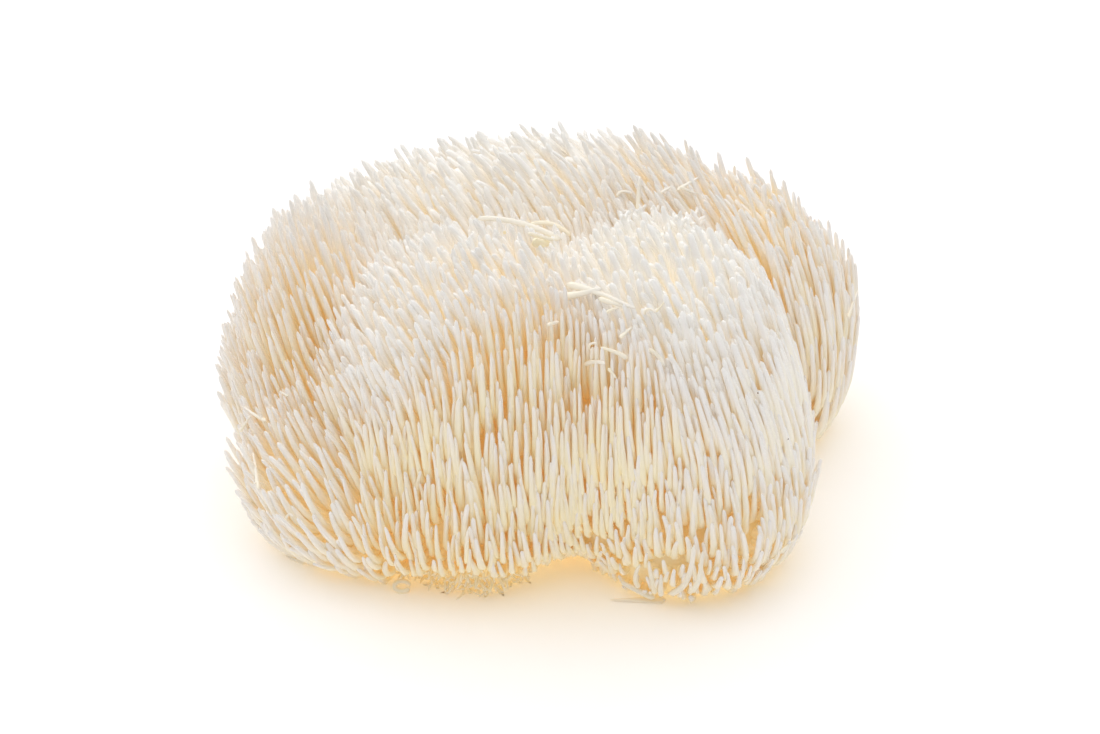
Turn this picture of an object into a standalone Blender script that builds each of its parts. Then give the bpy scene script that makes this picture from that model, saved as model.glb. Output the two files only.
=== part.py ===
"""A lion's mane mushroom: one grown fruiting body, lying on the flat cut where it left its log.

The flesh is a cluster of rounded lobes, joined softly. A ball of triangles settles on to them,
and each triangle above the bare underside grows into one spine, which leaves the flesh square
to it and then bends to the common growing direction. The real spines are finer and closer, so
each one here stands for a bundle of them, and the roots of the bundles rise above the flesh.
"""

import random

import bmesh
import bpy
import numpy as np
from mathutils import Vector, noise

# Lobes of flesh without their spines, in metres: middle, then half width, depth and height
LOBES = {
    "back_mass": ((0.001, 0.0325, 0.027), (0.058, 0.022, 0.0385)),
    "right_back": ((0.0500, 0.030, 0.018), (0.0200, 0.022, 0.0365)),
    "left_flank": ((-0.0465, 0.008, 0.018), (0.0190, 0.028, 0.035)),
    "front_left": ((-0.011, -0.018, 0.024), (0.033, 0.0275, 0.0470)),
    "front_right": ((0.0275, -0.018, 0.024), (0.0285, 0.028, 0.0485)),
    "lower_left": ((-0.037, -0.018, 0.012), (0.026, 0.022, 0.018)),
    "lower_right": ((0.0355, -0.027, 0.014), (0.0210, 0.020, 0.019)),
    "foot": ((-0.002, 0.004, 0.002), (0.052, 0.030, 0.018)),
}
GROOVE_SOFTNESS = 0.0035
COAT_SOFTNESS = 0.008
SLOPE_STEP = 0.0005

# Ball of triangles that settles on to the lobes
BALL_MIDDLE = np.array((0.0, 0.0, 0.030))
BALL_HALF_SIZE = np.array((0.085, 0.060, 0.050))
SETTLING_STEPS = 60
EVEN_SPACING = 0.4

# Slow swellings of the surface
SWELLING_HEIGHT = 0.0016
SWELLING_WIDTH = 0.022

# Spines, in metres
ROOT_RISE_ON_TOP = 0.0030
ROOT_RISE_ON_WALLS = 0.0010
SPINE_LENGTH = 0.0095
SPINE_LENGTH_SPREAD = 0.16
SHORT_SPINE_SHARE = 0.45
SHORT_SPINES_BELOW = 0.006
FULL_SPINES_ABOVE = 0.030
GROOVE_FACES = 0.45
OPEN_FACES = 0.85
BEND_POWER = 1.5
OVERHANG_FROM = 0.15
UNDERSIDE_LIFT = 1.2
SHOULDER_AT = 0.12
SHOULDER_WIDTH = 0.42
BARE_BELOW = 0.0035
BARE_UNDERSIDE_SLOPE = -0.62

# Growing direction: up and a little left, more so at both ends
LEAN_LEFT = 0.13
LEAN_LEFT_AT_LEFT_END = 0.30
LEAN_LEFT_AT_RIGHT_END = 0.12
LEFT_END = -0.045
RIGHT_END = 0.030
END_WIDTH = 0.030

FLESH_DIVISIONS = 4
SHARP_ANGLE = 0.9
FLAT = 1e-6
SEED = 7

# Finish of the fresh spines
FLESH_COLOUR = (0.84, 0.75, 0.60, 1.0)
FLESH_ROUGHNESS = 0.55


def clear_scene():
    """Remove every object that the file starts with."""
    for thing in list(bpy.data.objects):
        bpy.data.objects.remove(thing, do_unlink=True)


def flesh_material():
    """Moist, off-white mushroom flesh."""
    material = bpy.data.materials.new("mushroom_flesh")
    material.use_nodes = True
    shader = material.node_tree.nodes["Principled BSDF"]
    shader.inputs["Base Color"].default_value = FLESH_COLOUR
    shader.inputs["Roughness"].default_value = FLESH_ROUGHNESS
    shader.inputs["Metallic"].default_value = 0.0
    return material


def lobe_distance(points, softness):
    """Rough signed distance from points to the soft union of all lobes."""
    total = np.zeros(len(points))
    for middle, half_size in LOBES.values():
        scaled = (points - np.array(middle)) / np.array(half_size)
        reach = np.linalg.norm(scaled, axis=1) + FLAT
        slope = np.linalg.norm(scaled / np.array(half_size), axis=1) + FLAT
        distance = reach * (reach - 1.0) / slope
        total += np.exp(-distance / softness)
    return -softness * np.log(total)


def lobe_normals(points, softness):
    """Outward directions of the joined lobes at each point."""
    slopes = []
    for step in np.eye(3) * SLOPE_STEP:
        slopes.append(lobe_distance(points + step, softness) - lobe_distance(points - step, softness))
    normals = np.array(slopes).T
    return normals / np.linalg.norm(normals, axis=1)[:, None]


def onto_flesh(points):
    """Points moved square on to the swelling lobes, and out to where bundles of spines part."""
    normals = lobe_normals(points, GROOVE_SOFTNESS)
    swelling = np.array([noise.noise(Vector(point) / SWELLING_WIDTH) for point in points])
    facing_up = np.clip(normals[:, 2], 0.0, 1.0)
    rise = ROOT_RISE_ON_WALLS + (ROOT_RISE_ON_TOP - ROOT_RISE_ON_WALLS) * facing_up
    gap = lobe_distance(points, GROOVE_SOFTNESS) - SWELLING_HEIGHT * swelling - rise
    return points - normals * gap[:, None]


def neighbour_middles(points, edges):
    """The mean place of each point's neighbours."""
    total = np.zeros_like(points)
    count = np.zeros(len(points))
    for near, far in (edges.T, edges.T[::-1]):
        np.add.at(total, near, points[far])
        np.add.at(count, near, 1.0)
    return total / count[:, None]


def smooth_step(low, high, value):
    """Rises from 0 at low to 1 at high, with soft ends."""
    share = min(max((value - low) / (high - low), 0.0), 1.0)
    return share * share * (3.0 - 2.0 * share)


def growing_direction(point, normal):
    """Where a spine bends to: up, leaning left, and held off the flesh where that overhangs."""
    left = smooth_step(LEFT_END, LEFT_END - END_WIDTH, point.x)
    right = smooth_step(RIGHT_END, RIGHT_END + END_WIDTH, point.x)
    lean = LEAN_LEFT + LEAN_LEFT_AT_LEFT_END * left + LEAN_LEFT_AT_RIGHT_END * right
    growth = Vector((-lean, 0.0, 1.0)).normalized()
    overhang = max(0.0, OVERHANG_FROM - normal.dot(growth))
    return (growth + normal * UNDERSIDE_LIFT * overhang).normalized()


def spine_path(normal, growth, length, share):
    """Offset from a spine's root at a share of its length."""
    power = BEND_POWER + 1.0
    outward = (1.0 - (1.0 - share) ** power) / power
    return (normal * outward + growth * (share - outward)) * length


def make_flesh():
    """A closed ball of triangles, settled on to the lobes and cut flat underneath."""
    flesh = bmesh.new()
    bmesh.ops.create_icosphere(flesh, subdivisions=FLESH_DIVISIONS, radius=1.0)
    edges = np.array([[vertex.index for vertex in edge.verts] for edge in flesh.edges])
    points = BALL_MIDDLE + np.array([vertex.co for vertex in flesh.verts]) * BALL_HALF_SIZE
    for _ in range(SETTLING_STEPS):
        points += EVEN_SPACING * (neighbour_middles(points, edges) - points)
        points = onto_flesh(points)
    points[:, 2] = np.maximum(points[:, 2], 0.0)
    for vertex, point in zip(flesh.verts, points):
        vertex.co = point
    cut = [face for face in flesh.faces if all(vertex.co.z < FLAT for vertex in face.verts)]
    bmesh.ops.dissolve_faces(flesh, faces=cut, use_verts=True)
    flesh.normal_update()
    return flesh


def bears_spine(face):
    """True for a face of the coat, false for the cut base and the bare underside."""
    above_rim = face.calc_center_median().z > BARE_BELOW
    return len(face.verts) == 3 and above_rim and face.normal.z > BARE_UNDERSIDE_SLOPE


def draw_out(flesh, face, normal, growth, length):
    """Grow one face into a spine: a shoulder ring and a pointed tip on the face's own corners."""
    root = face.calc_center_median()
    shoulder = root + spine_path(normal, growth, length, SHOULDER_AT)
    corners = list(face.verts)
    ring = [flesh.verts.new(shoulder + (c.co - root) * SHOULDER_WIDTH) for c in corners]
    tip = flesh.verts.new(root + spine_path(normal, growth, length, 1.0))
    for side in range(len(corners)):
        after = (side + 1) % len(corners)
        flesh.faces.new((corners[side], corners[after], ring[after], ring[side]))
        flesh.faces.new((ring[side], ring[after], tip))


def grow_spines(flesh):
    """Draw every face of the coat out into a tapering, bent spine."""
    chance = random.Random(SEED)
    coat = [face for face in flesh.faces if bears_spine(face)]
    roots = np.array([face.calc_center_median() for face in coat])
    for face, root, normal in zip(coat, roots, lobe_normals(roots, COAT_SOFTNESS)):
        height = smooth_step(SHORT_SPINES_BELOW, FULL_SPINES_ABOVE, root[2])
        normal = Vector(normal)
        room = smooth_step(GROOVE_FACES, OPEN_FACES, face.normal.dot(normal))
        share = SHORT_SPINE_SHARE + (1.0 - SHORT_SPINE_SHARE) * height * room
        length = SPINE_LENGTH * share * (1.0 + SPINE_LENGTH_SPREAD * chance.uniform(-1, 1))
        draw_out(flesh, face, normal, growing_direction(Vector(root), normal), length)
    bmesh.ops.delete(flesh, geom=coat, context="FACES_ONLY")


def make_fruiting_body():
    """The whole mushroom as one named object."""
    body = make_flesh()
    grow_spines(body)
    mesh = bpy.data.meshes.new("fruiting_body")
    body.to_mesh(mesh)
    body.free()
    mesh.materials.append(flesh_material())
    mesh.shade_smooth()
    mesh.set_sharp_from_angle(angle=SHARP_ANGLE)
    fruiting_body = bpy.data.objects.new("fruiting_body", mesh)
    bpy.context.scene.collection.objects.link(fruiting_body)
    return fruiting_body


clear_scene()
make_fruiting_body()
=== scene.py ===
# %% [markdown]
# # A lion's mane mushroom, lying on its cut
#
# This lesson dresses one packed solid, the fruiting body of a lion's mane mushroom. The real
# thing is a cluster of rounded lobes of soft flesh, and every lobe is hung with soft spines,
# thousands of them. Here the mushroom lies upside down on the flat cut that it left its log by,
# so the spines point up. The lobes come first, then the spines grow on them with Geometry Nodes,
# and the small accidents of a picked mushroom come last.

# %% Load the packed solid
import math
import random

import bmesh
import bpy
import numpy as np
from mathutils import Matrix, Vector, noise


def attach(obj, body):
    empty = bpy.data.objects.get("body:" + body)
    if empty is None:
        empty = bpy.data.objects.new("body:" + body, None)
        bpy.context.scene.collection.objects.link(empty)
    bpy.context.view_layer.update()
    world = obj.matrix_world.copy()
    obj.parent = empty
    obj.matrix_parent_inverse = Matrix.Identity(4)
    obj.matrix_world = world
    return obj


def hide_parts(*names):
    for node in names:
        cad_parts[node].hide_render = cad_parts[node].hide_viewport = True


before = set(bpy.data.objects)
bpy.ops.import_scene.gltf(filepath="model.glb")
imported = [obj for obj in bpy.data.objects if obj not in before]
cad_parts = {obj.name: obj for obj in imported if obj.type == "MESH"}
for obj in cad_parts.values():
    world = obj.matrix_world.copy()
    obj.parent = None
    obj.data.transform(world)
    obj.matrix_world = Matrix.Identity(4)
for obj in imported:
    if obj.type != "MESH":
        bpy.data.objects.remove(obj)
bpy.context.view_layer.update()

# %% [markdown]
# ## The camera
#
# The photograph looks down on the mushroom from about a third of the way up, with a long lens
# and no strong perspective. A 100 mm lens from 0.7 m gives that. The camera is turned by two
# plain angles, so that the view is easy to change and has no tilt.

# %% Camera
CAMERA_LENS = 100.0
CAMERA_DISTANCE = 0.715
CAMERA_HEIGHT_ANGLE = math.radians(33.0)
LOOKED_AT = Vector((0.0023, 0.0, 0.0335))


def put_in_scene(name, data):
    """A new object at the origin of the scene."""
    thing = bpy.data.objects.new(name, data)
    bpy.context.scene.collection.objects.link(thing)
    return thing


def make_camera():
    """The photograph's view, level and without depth of field."""
    camera = put_in_scene("camera", bpy.data.cameras.new("camera"))
    camera.data.lens = CAMERA_LENS
    back = Vector((0.0, -math.cos(CAMERA_HEIGHT_ANGLE), math.sin(CAMERA_HEIGHT_ANGLE)))
    camera.location = LOOKED_AT + back * CAMERA_DISTANCE
    camera.rotation_euler = (math.pi / 2 - CAMERA_HEIGHT_ANGLE, 0.0, 0.0)
    bpy.context.scene.camera = camera
    return camera


camera = make_camera()
print("camera at", [round(place, 3) for place in camera.location])

# %% [markdown]
# ## The studio
#
# The picture shows a white table that runs into a white background. A plain square does for both,
# if it is large. The table in the picture stays pale and warm even in the mushroom's shadow, so it
# is given a faint warm painted glow: painted light that lightens and warms that shadow in place of
# light passed on through the flesh, and costs no extra lamp.

# %% Table
FLOOR_SIZE = 6.0
FLOOR_FINISH_AND_GLOW = {
    "Base Color": (0.86, 0.875, 0.91, 1.0),
    "Roughness": 0.9,
    "Specular IOR Level": 0.1,
    # A faint warm painted glow: painted light that lightens the mushroom's shadow on the table
    "Emission Color": (1.0, 0.76, 0.44, 1.0),
    "Emission Strength": 0.17,
}


def new_finish(name):
    """A material, and the shader that takes its values and nodes."""
    material = bpy.data.materials.new(name)
    material.use_nodes = True
    return material, material.node_tree.nodes["Principled BSDF"]


def make_floor():
    """A white table top that the mushroom rests on, with a faint warm painted glow."""
    half = FLOOR_SIZE / 2
    corners = [(-half, -half, 0.0), (half, -half, 0.0), (half, half, 0.0), (-half, half, 0.0)]
    mesh = bpy.data.meshes.new("floor")
    mesh.from_pydata(corners, [], [(0, 1, 2, 3)])
    material, shader = new_finish("white_table")
    for name, value in FLOOR_FINISH_AND_GLOW.items():
        shader.inputs[name].default_value = value
    mesh.materials.append(material)
    return put_in_scene("floor", mesh)


floor = make_floor()
print("table of", FLOOR_SIZE, "m")

# %% [markdown]
# ## The light
#
# Light comes from all around, and more from above. A white world lights every gap between the
# spines softly. A wide lamp over the mushroom and a weak one behind it make the tops brighter than
# the front, and the table throws light back up. The standard view keeps white white. Many light
# bounces are allowed, because pale spines pass light on from one to the next.

# %% Lamps and background
SKY_COLOUR = (1.0, 1.0, 1.0, 1.0)
SKY_STRENGTH = 0.38
LIGHT_BOUNCES = 32
# Each lamp: the direction it stands in, its strength and how wide it spreads
TOP_LAMP = ((-0.12, 0.18, 0.97), 2.32, math.radians(100.0))
REAR_LAMP = ((0.10, 0.85, 0.50), 0.25, math.radians(120.0))


def make_lamp(name, direction, strength, spread):
    """A broad even light from one direction, as from a large soft box far away."""
    light = bpy.data.lights.new(name, "SUN")
    light.energy = strength
    light.angle = spread
    lamp = put_in_scene(name, light)
    lamp.location = direction
    lamp.rotation_euler = Vector(direction).to_track_quat("Z", "Y").to_euler()


def make_sky():
    """An even white background that also lights the gaps."""
    world = bpy.data.worlds.new("white_sky")
    bpy.context.scene.world = world
    world.use_nodes = True
    background = world.node_tree.nodes["Background"]
    background.inputs["Color"].default_value = SKY_COLOUR
    background.inputs["Strength"].default_value = SKY_STRENGTH


make_sky()
make_lamp("top_lamp", *TOP_LAMP)
make_lamp("rear_lamp", *REAR_LAMP)
bpy.context.scene.view_settings.view_transform = "Standard"
bpy.context.scene.cycles.diffuse_bounces = LIGHT_BOUNCES
bpy.context.scene.cycles.max_bounces = LIGHT_BOUNCES
print("sky", SKY_STRENGTH, "top lamp", TOP_LAMP[1], "rear lamp", REAR_LAMP[1])

# %% [markdown]
# ## The lobes as a distance
#
# The flesh is one grown body, so its lobes run into each other with soft grooves. Eight
# ellipsoids, joined by a soft minimum of their distances, describe that with few numbers. They
# are the ones that the packed solid was made from. A larger softness gives a smoother shape, and
# its outward directions are the ones that the spines leave the flesh by.

# %% Lobes
# Each lobe, in metres: its middle, then half its width, depth and height
LOBES = {
    "back_mass": ((0.001, 0.0325, 0.027), (0.058, 0.022, 0.0385)),
    "right_back": ((0.0500, 0.030, 0.018), (0.0200, 0.022, 0.0365)),
    "left_flank": ((-0.0465, 0.008, 0.018), (0.0190, 0.028, 0.035)),
    "front_left": ((-0.011, -0.018, 0.024), (0.033, 0.0275, 0.0470)),
    "front_right": ((0.0275, -0.018, 0.024), (0.0285, 0.028, 0.0485)),
    "lower_left": ((-0.037, -0.018, 0.012), (0.026, 0.022, 0.018)),
    "lower_right": ((0.0355, -0.027, 0.014), (0.0210, 0.020, 0.019)),
    "foot": ((-0.002, 0.004, 0.002), (0.052, 0.030, 0.018)),
}
GROOVE_SOFTNESS = 0.0025
COAT_SOFTNESS = 0.008
SLOPE_STEP = 0.0005
TINY = 1e-6


def distances_to_lobes(points):
    """Rough signed distance from each point to each lobe on its own."""
    columns = []
    for middle, half_size in LOBES.values():
        scaled = (points - np.array(middle)) / np.array(half_size)
        reach = np.linalg.norm(scaled, axis=1) + TINY
        slope = np.linalg.norm(scaled / np.array(half_size), axis=1) + TINY
        columns.append(reach * (reach - 1.0) / slope)
    return np.array(columns).T


def lobe_distance(points, softness):
    """Rough signed distance from points to the soft union of all lobes."""
    return -softness * np.log(np.exp(-distances_to_lobes(points) / softness).sum(axis=1))


def lobe_normals(points, softness):
    """Outward directions of the joined lobes at each point."""
    slopes = []
    for step in np.eye(3) * SLOPE_STEP:
        slopes.append(lobe_distance(points + step, softness) - lobe_distance(points - step, softness))
    normals = np.array(slopes).T
    return normals / np.linalg.norm(normals, axis=1)[:, None]


widest = 2 * max(half_size[0] for _, half_size in LOBES.values())

# %% [markdown]
# ## How the coat is combed
#
# A spine leaves the flesh square to it and then bends to where the mushroom grew: up here, with
# a lean to the left that differs from place to place. So do length, warmth of colour and mess: the
# back top lies over and is tangled, the right side looks combed, the front stands straight. Each
# patch below is a place with its own numbers. A point of the flesh takes a blend of the patches
# near it, which gives soft changes all round, also on the sides that the photograph hides.

# %% Patches of the coat
# Each patch: its middle in metres, then lean to the left, length, warmth and mess
# Warmth is partly the coat's own colour and partly painted light: low on the lit tops, which are painted
# paler, and high on the shaded front and in grooves, which are painted more amber
PATCHES = {
    "front_middle": ((0.000, -0.044, 0.045), (0.02, 1.00, 1.15, 0.15)),
    "front_foot": ((-0.014, -0.046, 0.018), (0.05, 0.90, 1.20, 0.45)),
    "front_crest_left": ((-0.023, -0.016, 0.062), (0.45, 0.75, -0.10, 0.45)),
    "front_crest_right": ((0.028, -0.014, 0.070), (0.38, 0.72, -0.50, 0.40)),
    "front_right_side": ((0.054, -0.022, 0.042), (0.36, 1.00, 0.20, 0.10)),
    "front_right_foot": ((0.044, -0.042, 0.012), (0.14, 0.85, 0.60, 0.35)),
    "right_lobe_corner": ((0.0240, -0.0480, 0.0030), (0.08, 0.42, 0.95, 0.45)),
    "left_side": ((-0.067, 0.000, 0.026), (0.28, 1.10, 0.25, 0.40)),
    "left_groove": ((-0.056, -0.004, 0.036), (0.26, 1.05, 1.05, 0.20)),
    "left_foot": ((-0.058, -0.028, 0.010), (0.45, 0.85, 0.50, 0.50)),
    "back_left_shoulder": ((-0.048, 0.020, 0.050), (0.22, 1.15, 0.12, 0.25)),
    "back_wall": ((0.005, 0.012, 0.062), (0.06, 0.85, 0.08, 0.30)),
    "back_top": ((0.002, 0.034, 0.068), (1.05, 0.80, -0.40, 0.80)),
    "back_top_left": ((-0.034, 0.036, 0.058), (0.60, 0.80, -0.30, 0.50)),
    "back_right_wall": ((0.036, 0.020, 0.058), (0.60, 1.20, 0.40, 0.15)),
    "right_top": ((0.055, 0.036, 0.054), (0.35, 0.75, 0.60, 0.90)),
    "right_side": ((0.069, 0.018, 0.032), (0.27, 1.25, 0.55, 0.10)),
    "back_side": ((0.000, 0.056, 0.030), (0.15, 1.00, 0.50, 0.30)),
    "back_foot": ((0.000, 0.048, 0.006), (0.10, 0.85, 0.60, 0.40)),
}
PATCH_REACH = 0.011
SPINE_LENGTH = 0.0190
SHORT_SPINE_SHARE = 0.78
SHORT_SPINES_BELOW = 0.002
FULL_SPINES_ABOVE = 0.016
OVERHANG_FROM = 0.15
UNDERSIDE_LIFT = 0.6
BARE_BELOW = 0.0016
BARE_UNDERSIDE_SLOPE = -0.80
# A low bend power makes wide hooks, as under the front rim; a high one turns spines up at once
BEND_POWER = 3.2
BEND_POWER_AT_RIM = 1.4
HOOKS_BELOW = 0.008
HOOKS_UP_TO = 0.024
# Where the flesh itself shows: middle and half size of each bare place
FRONT_RIM = ((-0.016, -0.044, 0.001), (0.019, 0.014, 0.0075))
GAP_UNDER_LOBE = ((0.0235, -0.0450, 0.0088), (0.0036, 0.0100, 0.0036))
GROOVE_UNDER_LOBE = ((0.0310, -0.0445, 0.0140), (0.0052, 0.0090, 0.0022))
BARE_PLACES = (FRONT_RIM, GAP_UNDER_LOBE, GROOVE_UNDER_LOBE)
WALL_COVER = 0.86
WALL_SLOPE = 0.30
TOP_SLOPE = 0.90


def smooth_rise(low, high, values):
    """Rises from 0 at low to 1 at high, with soft ends."""
    share = np.clip((values - low) / (high - low), 0.0, 1.0)
    return share * share * (3.0 - 2.0 * share)


def combed(points):
    """Lean to the left, length, warmth and mess at each point, blended from the patches."""
    middles = np.array([middle for middle, _ in PATCHES.values()])
    values = np.array([value for _, value in PATCHES.values()])
    distances = np.linalg.norm(points[:, None, :] - middles[None, :, :], axis=2)
    nearest = distances.min(axis=1)[:, None]
    weights = np.exp(-(distances**2 - nearest**2) / (2.0 * PATCH_REACH**2))
    return (weights @ values / weights.sum(axis=1)[:, None]).T


def within(place, points):
    """True for the points inside an ellipsoid."""
    middle, half_size = place
    return np.linalg.norm((points - np.array(middle)) / np.array(half_size), axis=1) < 1.0


def growing_directions(points, normals):
    """Where the spines bend to, held off the flesh where that overhangs."""
    lean = combed(points)[0]
    growth = np.stack([-lean, np.zeros(len(points)), np.ones(len(points))], axis=1)
    growth /= np.linalg.norm(growth, axis=1)[:, None]
    overhang = np.maximum(0.0, OVERHANG_FROM - (normals * growth).sum(axis=1))
    growth += normals * UNDERSIDE_LIFT * overhang[:, None]
    return growth / np.linalg.norm(growth, axis=1)[:, None]


# %% [markdown]
# ## The flesh
#
# A ball of triangles shrinks on to the lobes: each step moves every point towards the middle of
# its neighbours, which keeps the triangles even, and then square on to the surface. A voxel
# remesh would do the same with less control over the grooves. Whatever would lie below the table
# is pressed flat, which is the cut. Only a little of the flesh shows between the spines.

# %% Settle a ball on to the lobes
BALL_MIDDLE = np.array((0.0, 0.0, 0.030))
BALL_HALF_SIZE = np.array((0.085, 0.060, 0.050))
FLESH_DIVISIONS = 6
FLESH_SINK = 0.0052
SUNK_FULLY_ABOVE = 0.034
SETTLING_STEPS = 60
EVEN_SPACING = 0.4
SWELLING_HEIGHT = 0.0016
SWELLING_WIDTH = 0.022
# Arch under the front rim, where the flesh steps back and the table shows
ARCH_MIDDLE = 0.006
ARCH_HALF_WIDTH = 0.010
ARCH_HEIGHT = 0.014
ARCH_DEPTH = 0.010
# The step fades out over this depth, or the cut behind the arch would fold over itself
ARCH_FADES_FROM = -0.024
ARCH_FADES_UP_TO = 0.014


def arch_step(points):
    """How far each point of the front steps back for the arch, less and less towards the back."""
    across = np.exp(-(((points[:, 0] - ARCH_MIDDLE) / ARCH_HALF_WIDTH) ** 2))
    low = 1.0 - smooth_rise(0.0, ARCH_HEIGHT, points[:, 2])
    front = 1.0 - smooth_rise(ARCH_FADES_FROM, ARCH_FADES_UP_TO, points[:, 1])
    return ARCH_DEPTH * across * low * front


def swellings(points):
    """Slow rise and fall of the surface, in metres."""
    noises = [noise.noise(Vector(point) / SWELLING_WIDTH) for point in points]
    return SWELLING_HEIGHT * np.array(noises)


def onto_flesh(points):
    """Points moved square on to the swelling lobes."""
    gap = lobe_distance(points, GROOVE_SOFTNESS) - swellings(points)
    return points - lobe_normals(points, GROOVE_SOFTNESS) * gap[:, None]


def neighbour_middles(points, edges):
    """The mean place of each point's neighbours."""
    total = np.zeros_like(points)
    count = np.zeros(len(points))
    for near, far in (edges.T, edges.T[::-1]):
        np.add.at(total, near, points[far])
        np.add.at(count, near, 1.0)
    return total / count[:, None]


def settled_ball(divisions):
    """A closed ball of triangles on the lobes, and the places there that its points came from."""
    ball = bmesh.new()
    bmesh.ops.create_icosphere(ball, subdivisions=divisions, radius=1.0)
    edges = np.array([[vertex.index for vertex in edge.verts] for edge in ball.edges])
    points = BALL_MIDDLE + np.array([vertex.co for vertex in ball.verts]) * BALL_HALF_SIZE
    for _ in range(SETTLING_STEPS):
        points += EVEN_SPACING * (neighbour_middles(points, edges) - points)
        points = onto_flesh(points)
    depth = FLESH_SINK * smooth_rise(0.0, SUNK_FULLY_ABOVE, points[:, 2])
    sunk = points - growing_directions(points, lobe_normals(points, COAT_SOFTNESS)) * depth[:, None]
    sunk[:, 1] += arch_step(points)
    sunk[:, 2] = np.maximum(sunk[:, 2], 0.0)
    for vertex, point in zip(ball.verts, sunk):
        vertex.co = point
    mesh = bpy.data.meshes.new("flesh")
    ball.to_mesh(mesh)
    ball.free()
    mesh.shade_smooth()
    return mesh, points


flesh_mesh, flesh_points = settled_ball(FLESH_DIVISIONS)

# %% [markdown]
# ## What the spines need to know
#
# The tree that grows the spines reads a few values on the flesh: the direction square to it, the
# one to grow in, length, warmth, mess, how sharply to bend and how densely to stand. They are
# worked out here, for every point, because formulas are shorter to write than to build from nodes.

# %% Keep the values on the flesh
def keep_on_points(mesh, name, kind, values):
    """Store one value for each point of a mesh."""
    layer = mesh.attributes.new(name, kind, "POINT")
    field = "vector" if kind == "FLOAT_VECTOR" else "value"
    layer.data.foreach_set(field, np.asarray(values, dtype=np.float32).ravel())


def comb_flesh(mesh, points):
    """Work out what the spines need to know and keep it on the flesh."""
    normals = lobe_normals(points, COAT_SOFTNESS)
    _, length, warmth, mess = combed(points)
    height = smooth_rise(SHORT_SPINES_BELOW, FULL_SPINES_ABOVE, points[:, 2])
    length *= SPINE_LENGTH * (SHORT_SPINE_SHARE + (1.0 - SHORT_SPINE_SHARE) * height)
    faces_out = normals[:, 2] > BARE_UNDERSIDE_SLOPE
    thinned = WALL_COVER + (1.0 - WALL_COVER) * smooth_rise(WALL_SLOPE, TOP_SLOPE, normals[:, 2])
    bare = np.any([within(place, points) for place in BARE_PLACES], axis=0)
    cover = np.where((points[:, 2] > BARE_BELOW) & faces_out & ~bare, thinned, 0.0)
    low_down = 1.0 - smooth_rise(HOOKS_BELOW, HOOKS_UP_TO, points[:, 2])
    hooked = low_down * np.clip(-normals[:, 1], 0.0, 1.0)
    bend = BEND_POWER + (BEND_POWER_AT_RIM - BEND_POWER) * hooked
    keep_on_points(mesh, "square", "FLOAT_VECTOR", normals)
    keep_on_points(mesh, "growth", "FLOAT_VECTOR", growing_directions(points, normals))
    numbers = {"length": length, "warmth": warmth, "mess": mess, "bend": bend, "cover": cover}
    for name, values in numbers.items():
        keep_on_points(mesh, name, "FLOAT", values)


comb_flesh(flesh_mesh, flesh_points)
print("kept on the flesh:", [layer.name for layer in flesh_mesh.attributes if layer.domain == "POINT"])

# %% [markdown]
# ## Pieces of the coat
#
# The coat is one thing on the mushroom, but a mesh of all its spines would be too heavy for one
# piece. Each face of the flesh is given to the lobe it lies on, so that the spines come in six
# pieces that part where the mushroom does, in the grooves.

# %% Share the flesh out between the pieces
COAT_PIECES = ("spines_back_left", "spines_back_right", "spines_right", "spines_left",
               "spines_front_left", "spines_front_right")
LOBE_PIECES = {
    "back_mass": "spines_back_left",
    "right_back": "spines_right",
    "left_flank": "spines_left",
    "front_left": "spines_front_left",
    "front_right": "spines_front_right",
    "lower_left": "spines_left",
    "lower_right": "spines_front_right",
    "foot": "spines_back_left",
}


def share_out(mesh, points):
    """Store on each face the number of the coat piece that its spines belong to."""
    corners = np.zeros(len(mesh.loops), dtype=np.int32)
    mesh.loops.foreach_get("vertex_index", corners)
    middles = points[corners.reshape(-1, 3)].mean(axis=1)
    nearest = distances_to_lobes(middles).argmin(axis=1)
    pieces = np.array([COAT_PIECES.index(piece) for piece in LOBE_PIECES.values()])[nearest]
    on_back = pieces == COAT_PIECES.index("spines_back_left")
    pieces[on_back & (middles[:, 0] > 0.0)] = COAT_PIECES.index("spines_back_right")
    layer = mesh.attributes.new("piece", "INT", "FACE")
    layer.data.foreach_set("value", pieces.astype(np.int32))
    return pieces


face_pieces = share_out(flesh_mesh, flesh_points)
print("faces of flesh under each piece:", np.bincount(face_pieces).tolist())

# %% [markdown]
# ## A short hand for node trees
#
# A formula made of nodes takes many lines, because each node is added, set and wired on its own.
# A small class does that in one call, for geometry and for materials alike, so that the trees
# below read like the formulas that they are.

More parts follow.
